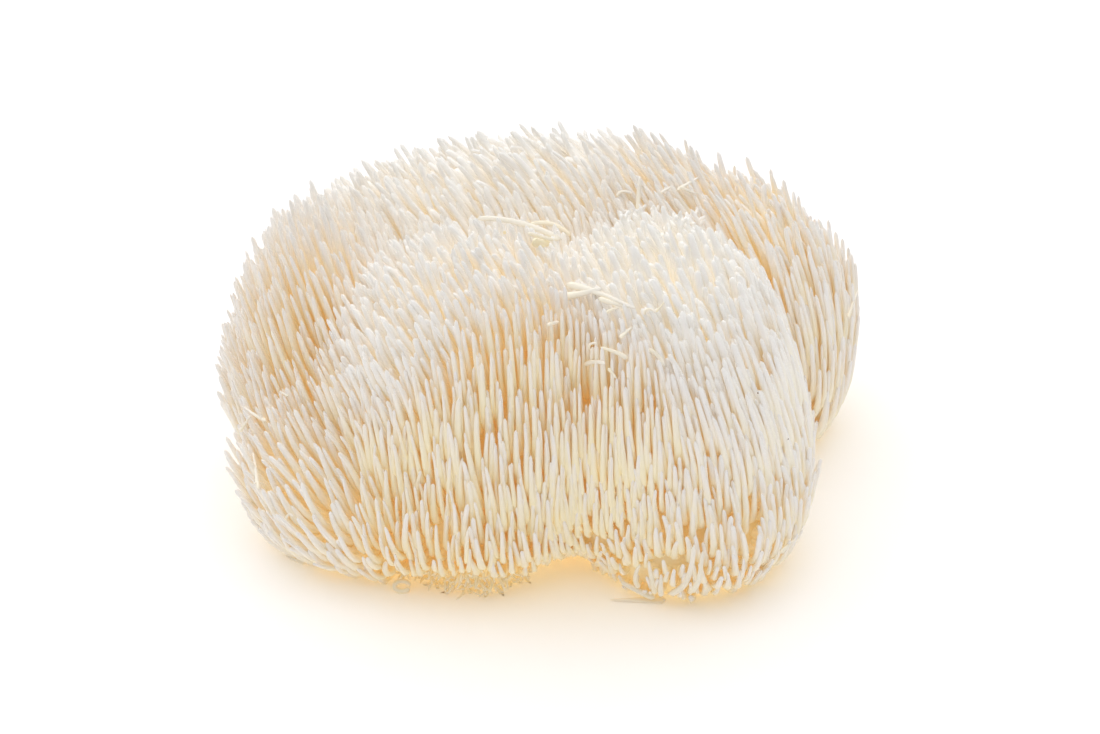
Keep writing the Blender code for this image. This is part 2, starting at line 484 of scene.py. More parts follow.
# %% Wiring helper
class Wiring:
    """Adds nodes to one tree and feeds their inputs from sockets or plain values."""

    def __init__(self, tree):
        self.tree = tree

    def node(self, kind, inputs, **settings):
        """One node: its settings first, because they decide which inputs it has."""
        made = self.tree.nodes.new(kind)
        for name, value in settings.items():
            setattr(made, name, value)
        for key, value in inputs.items():
            if isinstance(value, bpy.types.NodeSocket):
                self.tree.links.new(value, made.inputs[key])
            else:
                made.inputs[key].default_value = value
        return made

    def out(self, kind, inputs, **settings):
        """The first output of a new node."""
        return self.node(kind, inputs, **settings).outputs[0]

    def math(self, operation, *values):
        """A sum on single numbers."""
        return self.out("ShaderNodeMath", dict(enumerate(values)), operation=operation)

    def vector(self, operation, *values):
        """A sum on vectors."""
        return self.out("ShaderNodeVectorMath", dict(enumerate(values)), operation=operation)

    def scaled(self, vector, factor):
        """A vector times a number."""
        return self.out("ShaderNodeVectorMath", {"Vector": vector, "Scale": factor}, operation="SCALE")

    def blend(self, share, low, high):
        """From low to high as share goes from 0 to 1."""
        return self.out("ShaderNodeMapRange", {"Value": share, "To Min": low, "To Max": high})

    def reached(self, value, start, end=1.0, top=1.0):
        """From 0 to top as value goes from start to end."""
        inputs = {"Value": value, "From Min": start, "From Max": end, "To Max": top}
        return self.out("ShaderNodeMapRange", inputs)

    def mix(self, share, low, high):
        """A colour between two colours."""
        return self.out("ShaderNodeMixRGB", {"Fac": share, "Color1": low, "Color2": high})

    def cloud(self, place, scale, detail):
        """Noise from 0 to 1."""
        return self.out("ShaderNodeTexNoise", {"Vector": place, "Scale": scale, "Detail": detail})

    def bump(self, height, strength, distance):
        """Surface directions that follow a height."""
        inputs = {"Height": height, "Strength": strength, "Distance": distance}
        return self.out("ShaderNodeBump", inputs)

    def feed(self, shader, sockets):
        """Wire sockets into the named inputs of a shader."""
        for name, socket in sockets.items():
            self.tree.links.new(socket, shader.inputs[name])

    def stored(self, name, kind="FLOAT"):
        """A value that the geometry carries under a name."""
        inputs = {"Name": name}
        return self.node("GeometryNodeInputNamedAttribute", inputs, data_type=kind).outputs["Attribute"]

    def store(self, geometry, name, value, kind="FLOAT"):
        """Geometry that carries a value for each point under a name."""
        inputs = {"Geometry": geometry, "Name": name, "Value": value}
        return self.out("GeometryNodeStoreNamedAttribute", inputs, data_type=kind, domain="POINT")

    def chance(self, low, high, seed):
        """A random number for each point."""
        inputs = {2: low, 3: high, "Seed": seed}
        return self.node("FunctionNodeRandomValue", inputs, data_type="FLOAT").outputs[1]

    def chance_vector(self, seed):
        """A random vector for each point, each side from -1 to 1."""
        inputs = {0: (-1.0, -1.0, -1.0), 1: (1.0, 1.0, 1.0), "Seed": seed}
        return self.out("FunctionNodeRandomValue", inputs, data_type="FLOAT_VECTOR")

    def chance_around_one(self, spread, seed):
        """A random factor for each point, within a spread below and above 1."""
        low = self.math("SUBTRACT", 1.0, spread)
        return self.chance(low, self.math("ADD", 1.0, spread), seed)

    def drift(self, place, scale):
        """A smooth noise vector around zero."""
        inputs = {"Vector": place, "Scale": scale, "Detail": 1.0}
        colour = self.node("ShaderNodeTexNoise", inputs).outputs["Color"]
        return self.vector("SUBTRACT", colour, (0.5, 0.5, 0.5))


print("wiring can make", [name for name in vars(Wiring) if not name.startswith("_")])

# %% [markdown]
# ## One tree grows every spine
#
# A spine is a soft, slightly oval tube that tapers to a round tip. The tree scatters roots on the
# flesh, stands a line on each, bends the lines and draws a skin round them. Its sizes are inputs,
# so one tree grows all six pieces. Particle hair would look alike but would not survive an export.

# %% Sizes of the spines
SPINE_INPUTS = {
    "Piece": ("NodeSocketInt", 0),
    "Spacing": ("NodeSocketFloat", 0.00172),
    "Thickness": ("NodeSocketFloat", 0.0025),
    "Thickness Spread": ("NodeSocketFloat", 0.20),
    "Length Spread": ("NodeSocketFloat", 0.22),
    "Tip Width": ("NodeSocketFloat", 0.33),
    "Tuft Size": ("NodeSocketFloat", 0.006),
    "Tuft Pull": ("NodeSocketFloat", 0.75),
    "Waver": ("NodeSocketFloat", 0.0030),
    "Curl": ("NodeSocketFloat", 0.0030),
    "Rings": ("NodeSocketInt", 10),
    "Sides": ("NodeSocketInt", 6),
    "Seed": ("NodeSocketInt", 3),
    "Material": ("NodeSocketMaterial", None),
}

# %% [markdown]
# ## Roots at an even spacing
#
# Real spines crowd, but no two share a spot. Poisson scattering gives that: it throws many
# candidates and drops each one that comes too near another. A grid would show rows, and plain
# random points would leave clumps and bald places. Each root carries its own random numbers.

# %% Scatter the roots
CANDIDATES_PER_SQUARE_METRE = 2.0e6
# A seed for each random number that a root carries
ROOT_SEEDS = {"shake": 11, "shade": 12, "girth": 13, "reach": 14}


def scatter_roots(wiring, given):
    """Points on the flesh of one piece, each with its own random numbers."""
    inputs = {
        "Mesh": given["Geometry"],
        "Distance Min": given["Spacing"],
        "Density Max": CANDIDATES_PER_SQUARE_METRE,
        "Density Factor": wiring.stored("cover"),
        "Seed": given["Seed"],
    }
    roots = wiring.out("GeometryNodeDistributePointsOnFaces", inputs, distribute_method="POISSON")
    inputs = {2: wiring.stored("piece", "INT"), 3: given["Piece"]}
    elsewhere = wiring.out("FunctionNodeCompare", inputs, data_type="INT", operation="NOT_EQUAL")
    roots = wiring.out("GeometryNodeDeleteGeometry", {"Geometry": roots, "Selection": elsewhere})
    place = wiring.out("GeometryNodeInputPosition", {})
    roots = wiring.store(roots, "root", place, "FLOAT_VECTOR")
    shake = wiring.chance_vector(ROOT_SEEDS["shake"])
    roots = wiring.store(roots, "shake", shake, "FLOAT_VECTOR")
    roots = wiring.store(roots, "shade", wiring.chance(0.0, 1.0, ROOT_SEEDS["shade"]))
    girth = wiring.chance_around_one(given["Thickness Spread"], ROOT_SEEDS["girth"])
    roots = wiring.store(roots, "girth", girth)
    reach = wiring.chance_around_one(given["Length Spread"], ROOT_SEEDS["reach"])
    return wiring.store(roots, "reach", wiring.math("MULTIPLY", wiring.stored("length"), reach))


print("each root carries", list(ROOT_SEEDS))

# %% [markdown]
# ## Lines that bend
#
# Each spine leaves the flesh square to it and bends to the growing direction. Neighbours lean
# together in tufts, and each line has its own waver and curl, more where the patch says mess.

# %% Stand a line on each root and bend it
# A curl grows with this power of the share along the line
CURL_POWER = 3.0
# How far apart the noises of two neighbours are, and how much of a noise one line crosses
OWN_NOISE = 9.0
NOISE_ALONG = (0.0, 0.0, 1.6)


def stand_lines(wiring, given, roots):
    """A straight line on each root, with the share of its length kept as along."""
    line = wiring.out("GeometryNodeCurvePrimitiveLine", {"End": (0.0, 0.0, 1.0)})
    line = wiring.out("GeometryNodeResampleCurve", {"Curve": line, "Count": given["Rings"]})
    lines = wiring.out("GeometryNodeInstanceOnPoints", {"Points": roots, "Instance": line})
    lines = wiring.out("GeometryNodeRealizeInstances", {"Geometry": lines})
    factor = wiring.out("GeometryNodeSplineParameter", {})
    crowded_ends = wiring.out("ShaderNodeMapRange", {"Value": factor}, interpolation_type="SMOOTHSTEP")
    return wiring.store(lines, "along", crowded_ends)


def bend_lines(wiring, given, lines):
    """Each line leaves the flesh square to it and bends to the growing direction."""
    along = wiring.stored("along")
    root = wiring.stored("root", "FLOAT_VECTOR")
    power = wiring.math("ADD", wiring.stored("bend"), 1.0)
    left = wiring.math("POWER", wiring.math("SUBTRACT", 1.0, along), power)
    outward = wiring.math("DIVIDE", wiring.math("SUBTRACT", 1.0, left), power)
    onward = wiring.math("SUBTRACT", along, outward)
    mess = wiring.stored("mess")
    tufts = wiring.drift(root, wiring.math("DIVIDE", 1.0, given["Tuft Size"]))
    pull = wiring.scaled(tufts, wiring.math("MULTIPLY", given["Tuft Pull"], mess))
    growth = wiring.vector("ADD", wiring.stored("growth", "FLOAT_VECTOR"), pull)
    square = wiring.scaled(wiring.stored("square", "FLOAT_VECTOR"), outward)
    path = wiring.vector("ADD", square, wiring.scaled(growth, onward))
    path = wiring.scaled(path, wiring.stored("reach"))
    shake = wiring.stored("shake", "FLOAT_VECTOR")
    hook = wiring.math("MULTIPLY", wiring.math("POWER", along, CURL_POWER), mess)
    curl = wiring.scaled(shake, wiring.math("MULTIPLY", hook, given["Curl"]))
    path = wiring.vector("ADD", path, curl)
    own_place = wiring.vector("ADD", wiring.scaled(shake, OWN_NOISE), wiring.scaled(NOISE_ALONG, along))
    swing = wiring.math("MULTIPLY", wiring.math("MULTIPLY", along, mess), given["Waver"])
    sway = wiring.scaled(wiring.drift(own_place, 1.0), swing)
    path = wiring.vector("ADD", path, sway)
    inputs = {"Geometry": lines, "Position": wiring.vector("ADD", root, path)}
    return wiring.out("GeometryNodeSetPosition", inputs)


print("a curl grows with power", CURL_POWER, "of the share along a spine")

# %% [markdown]
# ## A skin round each line
#
# An oval profile runs along each line and shrinks towards the tip, which closes round. On the pale
# tops of the real mushroom the spines are blunter, so their tips shrink less.

# %% Draw a skin round each line
ROUND_TIP_FROM = 0.95
END_CAP = 0.25
OVAL = (1.0, 0.78, 1.0)
# Warmths at which a place starts to be pale and is fully pale, and how much wider its tips are
PALE_UP_TO = 0.95
PALE_FULLY_AT = -0.45
BLUNT_TOPS = 1.6
ONLY_FOR_GROWING = ("root", "shake", "square", "growth", "length", "reach", "girth", "mess", "bend",
                    "cover", "piece")


def skin_lines(wiring, given, lines):
    """An oval tube round each line, which tapers to a round closed tip."""
    along = wiring.stored("along")
    paleness = wiring.reached(wiring.stored("warmth"), PALE_UP_TO, PALE_FULLY_AT)
    tip = wiring.math("MULTIPLY", given["Tip Width"], wiring.blend(paleness, 1.0, BLUNT_TOPS))
    taper = wiring.blend(along, 1.0, tip)
    into_tip = wiring.math("POWER", wiring.reached(along, ROUND_TIP_FROM), 2.0)
    rounding = wiring.math("SQRT", wiring.math("SUBTRACT", 1.0 + END_CAP**2, into_tip))
    width = wiring.math("MULTIPLY", wiring.math("MULTIPLY", taper, rounding), wiring.stored("girth"))
    radius = wiring.math("MULTIPLY", width, wiring.math("MULTIPLY", given["Thickness"], 0.5))
    circle = wiring.out("GeometryNodeCurvePrimitiveCircle", {"Resolution": given["Sides"]})
    oval = wiring.out("GeometryNodeTransform", {"Geometry": circle, "Scale": OVAL})
    turn = wiring.math("MULTIPLY", wiring.stored("shade"), math.pi)
    lines = wiring.out("GeometryNodeSetCurveTilt", {"Curve": lines, "Tilt": turn})
    inputs = {"Curve": lines, "Profile Curve": oval, "Scale": radius, "Fill Caps": True}
    return wiring.out("GeometryNodeCurveToMesh", inputs)


def finish_skin(wiring, given, skin):
    """Drop what only the growing needed, and give the skin its finish."""
    for name in ONLY_FOR_GROWING:
        skin = wiring.out("GeometryNodeRemoveAttribute", {"Geometry": skin, "Name": name})
    skin = wiring.out("GeometryNodeRealizeInstances", {"Geometry": skin})
    return wiring.out("GeometryNodeSetMaterial", {"Geometry": skin, "Material": given["Material"]})


print("a tip is", SPINE_INPUTS["Tip Width"][1], "of its root's width, up to", BLUNT_TOPS, "times that on top")

# %% The whole tree
def spine_tree():
    """The whole tree, with an input for each size."""
    tree = bpy.data.node_groups.new("grow_spines", "GeometryNodeTree")
    tree.interface.new_socket("Geometry", in_out="INPUT", socket_type="NodeSocketGeometry")
    for name, (kind, value) in SPINE_INPUTS.items():
        socket = tree.interface.new_socket(name, in_out="INPUT", socket_type=kind)
        if value is not None:
            socket.default_value = value
    tree.interface.new_socket("Geometry", in_out="OUTPUT", socket_type="NodeSocketGeometry")
    wiring = Wiring(tree)
    given = wiring.node("NodeGroupInput", {}).outputs
    roots = scatter_roots(wiring, given)
    lines = bend_lines(wiring, given, stand_lines(wiring, given, roots))
    skin = finish_skin(wiring, given, skin_lines(wiring, given, lines))
    wiring.node("NodeGroupOutput", {"Geometry": skin})
    return tree


grow_spines = spine_tree()
print("tree of", len(grow_spines.nodes), "nodes")

# %% [markdown]
# ## The finish of the spines
#
# Fresh spines are moist, waxy and a little see-through: cool white at the tip, cream further
# down, and amber towards the root, a painted tint that stands in for the light that has gone
# through many of them deep in the coat. The share along each spine drives the colour, each spine
# has a slightly different shade, and a fine noise on object coordinates breaks up colour, gloss
# and surface. On the pale tops one paler colour covers most of that: partly their own paler
# colour, partly painted light where the top lamp falls. Light that has gone through the
# neighbours is stood in for by a very faint painted glow: real scattering inside such thin,
# crowded tubes gives grey blotches. Broken spines get a finish of their own, evenly pale, with a
# stronger painted glow.

# %% Spine material
AMBER = (0.985, 0.895, 0.64, 1.0)
HONEY = (0.985, 0.908, 0.73, 1.0)
CREAM = (0.97, 0.915, 0.84, 1.0)
TIP_WHITE = (0.935, 0.91, 0.89, 1.0)
BLACK = (0.0, 0.0, 0.0, 1.0)
# Places on a spine where each colour is reached; the amber towards the roots is a painted tint for light
# passed on through the coat
COLOUR_STOPS = ((0.25, AMBER), (0.55, HONEY), (0.78, CREAM), (0.97, TIP_WHITE))
LOOSE_STOPS = ((0.2, (0.95, 0.86, 0.62, 1.0)), (0.9, (0.93, 0.885, 0.80, 1.0)))
# How far mottling, the shade of a spine and the warmth of a place move the colours along it
MOTTLE_SHIFT = 0.25
SHADE_SHIFT = 0.20
WARMTH_SHIFT = 0.22
WARMTH_MIDDLE = 0.4
# Light that has gone through the spines around comes out of their lower parts as a faint glow
GLOW_STOPS = ((0.0, (1.0, 0.84, 0.52, 1.0)), (0.5, (0.8, 0.68, 0.44, 1.0)), (0.95, BLACK))
GLOW_STRENGTH = 0.05
# Loose spines glow more: painted light that lightens them where they lie in shade
LOOSE_GLOW_STRENGTH = 0.12
# Where warmth is low the coat is pale down to its roots, partly its own colour and partly painted light on
# the lit tops, and its glow is paler too
PALE = (0.994, 0.978, 0.945, 1.0)
PALE_GLOW = (1.0, 0.92, 0.79, 1.0)
PALE_SHARE = 0.93
# Noises as scale and detail, and grain as strength and height
MOTTLE = (260.0, 3.0)
GRAIN = (1400.0, 2.0)
GRAIN_BUMP = (0.12, 0.0002)
SPINE_ROUGHNESS = (0.38, 0.62)


def start_finish(name):
    """A material, its shader, its wiring and the place on the piece that patterns follow."""
    material, shader = new_finish(name)
    wiring = Wiring(material.node_tree)
    return material, shader, wiring, wiring.node("ShaderNodeTexCoord", {}).outputs["Object"]


def colour_ramp(wiring, share, stops):
    """Colours reached one after the other as share goes from 0 to 1."""
    ramp = wiring.node("ShaderNodeValToRGB", {"Fac": share})
    while len(ramp.color_ramp.elements) < len(stops):
        ramp.color_ramp.elements.new(1.0)
    for element, (place, colour) in zip(ramp.color_ramp.elements, stops):
        element.position = place
        element.color = colour
    return ramp.outputs[0]


def spine_material(name, stops, pale_share, glow_strength):
    """Moist spines that change colour from root to tip."""
    material, shader, wiring, place = start_finish(name)
    along, shade, warmth = [
        wiring.node("ShaderNodeAttribute", {}, attribute_name=value).outputs["Fac"]
        for value in ("along", "shade", "warmth")
    ]
    mottle = wiring.cloud(place, *MOTTLE)
    uneven = wiring.math("MULTIPLY", wiring.math("SUBTRACT", mottle, 0.5), MOTTLE_SHIFT)
    own = wiring.math("MULTIPLY", wiring.math("SUBTRACT", shade, 0.5), SHADE_SHIFT)
    warm = wiring.math("MULTIPLY", wiring.math("SUBTRACT", warmth, WARMTH_MIDDLE), WARMTH_SHIFT)
    share = wiring.math("SUBTRACT", wiring.math("ADD", wiring.math("ADD", along, uneven), own), warm)
    paleness = wiring.reached(warmth, PALE_UP_TO, PALE_FULLY_AT, pale_share)
    glow = wiring.mix(paleness, colour_ramp(wiring, along, GLOW_STOPS), PALE_GLOW)
    below_tip = wiring.blend(along, 1.0, 0.0)
    grain = wiring.cloud(place, *GRAIN)
    wiring.feed(shader, {
        "Base Color": wiring.mix(paleness, colour_ramp(wiring, share, stops), PALE),
        "Roughness": wiring.blend(mottle, *SPINE_ROUGHNESS),
        "Normal": wiring.bump(grain, *GRAIN_BUMP),
        "Emission Color": wiring.mix(below_tip, BLACK, glow),
    })
    shader.inputs["Emission Strength"].default_value = glow_strength
    return material


spine_flesh = spine_material("spine_flesh", COLOUR_STOPS, PALE_SHARE, GLOW_STRENGTH)
loose_flesh = spine_material("loose_flesh", LOOSE_STOPS, 0.0, LOOSE_GLOW_STRENGTH)
print("finishes:", spine_flesh.name, "and", loose_flesh.name)

# %% [markdown]
# ## Growing the coat
#
# The tree runs once for each piece. Every run scatters the same roots over the whole flesh and
# keeps those of its own piece, so the spacing stays even across the grooves. The result is turned
# into a plain mesh at once, because the finished pieces carry no modifiers.

# %% Grow the spines piece by piece
def set_inputs(modifier, values):
    """Set tree inputs on a modifier by their identifiers."""
    for socket in modifier.node_group.interface.items_tree:
        if socket.in_out == "INPUT" and socket.name in values:
            modifier[socket.identifier] = values[socket.name]


def rest_on_table(mesh):
    """Press whatever would pass through the table flat on to it."""
    places = np.zeros(len(mesh.vertices) * 3, dtype=np.float32)
    mesh.vertices.foreach_get("co", places)
    heights = places[2::3]
    heights[heights < 0.0] = 0.0
    mesh.vertices.foreach_set("co", places)


def grow_piece(name):
    """One piece of the coat as a plain mesh object."""
    soil = put_in_scene("flesh_under_" + name, flesh_mesh)
    modifier = soil.modifiers.new("spines", "NODES")
    modifier.node_group = grow_spines
    values = {given: value for given, (_, value) in SPINE_INPUTS.items()}
    set_inputs(modifier, values | {"Piece": COAT_PIECES.index(name), "Material": spine_flesh})
    grown = soil.evaluated_get(bpy.context.evaluated_depsgraph_get())
    mesh = bpy.data.meshes.new_from_object(grown)
    mesh.name = name
    mesh.shade_smooth()
    rest_on_table(mesh)
    bpy.data.objects.remove(soil, do_unlink=True)
    return put_in_scene(name, mesh)


def triangle_count(thing):
    """Triangles of a piece, counted from its faces."""
    return sum(len(face.vertices) - 2 for face in thing.data.polygons)


coat = [grow_piece(name) for name in COAT_PIECES]
for piece in coat:
    print(piece.name, triangle_count(piece), "triangles")
print("coat:", sum(triangle_count(piece) for piece in coat), "triangles")

# %% [markdown]
# ## The bare flesh
#
# Between the roots, and on the underside, the flesh itself shows: amber, soft and a little
# porous. Its mesh is the settled ball, and the finish is close to the painted amber of the roots,
# so that the gaps between spines look deep. It also has a painted amber glow, strongest near the
# table, which stands in for light passed on through the flesh and warms the table under it.

# %% Flesh material and piece
# A painted amber glow, strongest at the table: light passed on through the flesh, stood in for by colour
FLESH_GLOW = ((0.0, (1.0, 0.74, 0.36, 1.0)), (1.0, (0.12, 0.09, 0.05, 1.0)))
FLESH_GLOW_STRENGTH = 0.14
FLESH_GLOWS_BELOW = 0.012
FLESH_COLOURS = ((0.2, (0.97, 0.84, 0.52, 1.0)), (0.8, (0.97, 0.88, 0.66, 1.0)))
FLESH_ROUGHNESS = (0.45, 0.7)
FLESH_CLOUD = (160.0, 5.0)
PORE_SCALE = 900.0
PORE_BUMP = (0.5, 0.0004)


def flesh_material():
    """Soft amber flesh with fine pores and a painted amber glow near the table."""
    material, shader, wiring, place = start_finish("bare_flesh")
    cloud = wiring.cloud(place, *FLESH_CLOUD)
    pores = wiring.out("ShaderNodeTexVoronoi", {"Vector": place, "Scale": PORE_SCALE})
    height = wiring.node("ShaderNodeSeparateXYZ", {"Vector": place}).outputs["Z"]
    high = wiring.math("DIVIDE", height, FLESH_GLOWS_BELOW)
    wiring.feed(shader, {
        "Base Color": colour_ramp(wiring, cloud, FLESH_COLOURS),
        "Roughness": wiring.blend(cloud, *FLESH_ROUGHNESS),
        "Normal": wiring.bump(pores, *PORE_BUMP),
        "Emission Color": colour_ramp(wiring, high, FLESH_GLOW),
    })
    shader.inputs["Emission Strength"].default_value = FLESH_GLOW_STRENGTH
    return material


flesh_mesh.materials.append(flesh_material())
flesh = put_in_scene("flesh", flesh_mesh)
print("flesh:", triangle_count(flesh), "triangles")

# %% [markdown]
# ## Finding places on the coat
#
# The small accidents are known from the photograph only: a broken spine lies there, a band of
# flesh runs across here. A ray from the camera through such a pixel meets the coat, the flesh or
# the table, and that is where the thing lies. So each piece rests on what carries it, and looks
# right from the other sides too.

# %% Rays through the photograph, whose pixels count from its upper left corner
PHOTO_WIDTH = 1100
PHOTO_HEIGHT = 734
PIXEL_SIZE = CAMERA_DISTANCE * camera.data.sensor_width / CAMERA_LENS / PHOTO_WIDTH
CARRIERS = [flesh, *coat]
# Share of a path, in percent, that may sink into what it lies on
SUNK_PERCENT = 12
bpy.context.view_layer.update()


def ray_through(pixel):
    """The direction from the camera through a pixel of the photograph."""
    across = pixel[0] - PHOTO_WIDTH / 2
    upward = PHOTO_HEIGHT / 2 - pixel[1]
    aim = Vector((across * PIXEL_SIZE, upward * PIXEL_SIZE, -CAMERA_DISTANCE))
    return (camera.matrix_world.to_3x3() @ aim).normalized()


def depth_at(pixel):
    """How far the camera sees through a pixel, up to the mushroom or the table."""
    start = camera.location
    aim = ray_through(pixel)
    depths = [-start.z / aim.z]
    for carrier in CARRIERS:
        met, place, _, _ = carrier.ray_cast(start, aim)
        if met:
            depths.append((place - start).length)
    return min(depths)


def smooth_path(stops, count):
    """Evenly counted points on a soft curve through the first and last stop, drawn to the others."""
    shares = np.linspace(0.0, 1.0, count)[:, None]
    stops = [np.tile(np.array(stop, dtype=float), (count, 1)) for stop in stops]
    while len(stops) > 1:
        stops = [low + (high - low) * shares for low, high in zip(stops, stops[1:])]
    return stops[0]


def lay_on_coat(pixels, rings, lift):
    """A path in the room along pixels of the photograph, laid on what the camera sees there."""
    path = smooth_path(pixels, rings)
    shares = np.linspace(0.0, 1.0, rings)
    depths = np.array([depth_at(pixel) for pixel in path])
    line = np.polyval(np.polyfit(shares, depths, 1), shares)
    line += np.percentile(depths - line, SUNK_PERCENT) - lift
    places = [camera.location + ray_through(pixel) * depth for pixel, depth in zip(path, line)]
    places = np.array(places)
    places[:, 2] = np.maximum(places[:, 2], lift)
    return places


PHOTO_MIDDLE = (PHOTO_WIDTH / 2, PHOTO_HEIGHT / 2)
print("what the middle pixel shows is", round(depth_at(PHOTO_MIDDLE), 3), "m away")

# %% [markdown]
# ## Soft tubes by hand
#
# Loose spines need no node tree, because there are few of them and each one is its own case. One
# function draws a closed, slightly flat tube along any path. Rings stand square to the path, and
# both ends close round. The same three values that the grown spines carry go on each point, so
# that the one finish fits.

# %% Tube builder
TUBE_SIDES = 10
STRAIGHT_UP = np.array((0.0, 0.0, 1.0))
ROUND_END_SHARE = 0.10
SMALLEST_END = 0.03


class TubeSet:
    """Gathers closed tubes into one mesh."""

    def __init__(self):
        self.points = []
        self.faces = []
        self.values = {"along": [], "shade": [], "warmth": []}

    def add(self, path, widths, flatness, along, shade, warmth, faces_up=False):
        """One tube along a path; widths and along have a value for each ring."""
        first = len(self.points)
        forward = np.gradient(path, axis=0)
        forward /= np.linalg.norm(forward, axis=1)[:, None]
        facing = STRAIGHT_UP if faces_up else np.array(camera.location) - path
        side = np.cross(forward, facing)
        side /= np.linalg.norm(side, axis=1)[:, None]
        face = np.cross(forward, side)
        angles = np.linspace(0.0, 2.0 * np.pi, TUBE_SIDES, endpoint=False)
        for place, width, across, out in zip(path, widths, side, face):
            for angle in angles:
                offset = np.cos(angle) * across + np.sin(angle) * flatness * out
                self.points.append(place + width / 2 * offset)
        self.skin(first, len(path))
        self.values["along"] += list(np.repeat(along, TUBE_SIDES))
        self.values["shade"] += [shade] * (len(path) * TUBE_SIDES)
        self.values["warmth"] += [warmth] * (len(path) * TUBE_SIDES)

    def skin(self, first, rings):
        """Faces between the rings of one tube and over both ends, all outwards."""
        for ring in range(rings - 1):
            low = first + ring * TUBE_SIDES
            for corner in range(TUBE_SIDES):
                near = low + corner
                after = low + (corner + 1) % TUBE_SIDES
                self.faces.append((near, after, after + TUBE_SIDES, near + TUBE_SIDES))
        self.faces.append(tuple(first + corner for corner in reversed(range(TUBE_SIDES))))
        last = first + (rings - 1) * TUBE_SIDES
        self.faces.append(tuple(last + corner for corner in range(TUBE_SIDES)))

    def piece(self, name, material):
        """One object of all the tubes."""
        mesh = bpy.data.meshes.new(name)
        mesh.from_pydata([tuple(point) for point in self.points], [], self.faces)
        for value_name, values in self.values.items():
            keep_on_points(mesh, value_name, "FLOAT", values)
        mesh.materials.append(material)
        mesh.shade_smooth()
        rest_on_table(mesh)
        return put_in_scene(name, mesh)


def round_ends(rings, start_width, end_width):
    """Widths from start to end that close round at both."""
    shares = np.linspace(0.0, 1.0, rings)
    widths = start_width + (end_width - start_width) * shares
    closing = np.minimum(np.minimum(shares, 1.0 - shares) / ROUND_END_SHARE, 1.0)
    return widths * np.sqrt(np.maximum(1.0 - (1.0 - closing) ** 2, SMALLEST_END))


print("tubes have", TUBE_SIDES, "sides")

# %% [markdown]
# ## Loose and broken spines
#
# Handling has broken some spines off. A flat double blade lies across the front lobe with curled
# bits around it, a few white ones cross on the right of the back wall, others on the left flank,
# thick hooked ones stand at the right foot, and three lie on the table there. Each one is a short
# path in pixels, with its width at both ends, because each is its own case.

